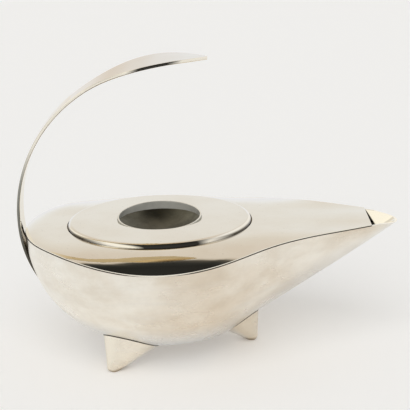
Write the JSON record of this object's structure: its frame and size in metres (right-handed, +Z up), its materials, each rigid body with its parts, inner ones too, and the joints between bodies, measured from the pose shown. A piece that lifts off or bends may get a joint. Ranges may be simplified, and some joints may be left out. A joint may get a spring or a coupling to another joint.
{
  "type": "silver teapot",
  "caption": "Low drop-shaped silver teapot with an open pouring trough, lift-off disc lid with a finger recess, cone feet and a leaf-shaped strap handle swept over the pot.",
  "frame": {"origin": "on the floor under the middle of the overall box", "axes": "+Z up, +X towards the spout, +Y to the left of someone pouring"},
  "size_m": [0.2265, 0.1592, 0.1762],
  "materials": {
    "satin_silver": "satin, softly tarnished silver",
    "bright_silver": "polished silver",
    "dark_silver": "oxidised silver"
  },
  "bodies": {
    "pot": {"bowl": "satin_silver", "deck": "bright_silver", "lid_seat": "bright_silver", "handle": "bright_silver", "front_foot": "satin_silver", "left_foot": "satin_silver", "right_foot": "satin_silver"},
    "lid": {"lid_rim": "bright_silver", "lid_plate": "bright_silver", "lid_bezel": "bright_silver", "finger_collar": "bright_silver", "finger_cup": "dark_silver"}
  },
  "joints": [
    {"name": "lid_lift", "type": "slide", "parent": "pot", "child": "lid", "axis": [0, 0, 1], "range_m": [0, 0.05]}
  ]
}
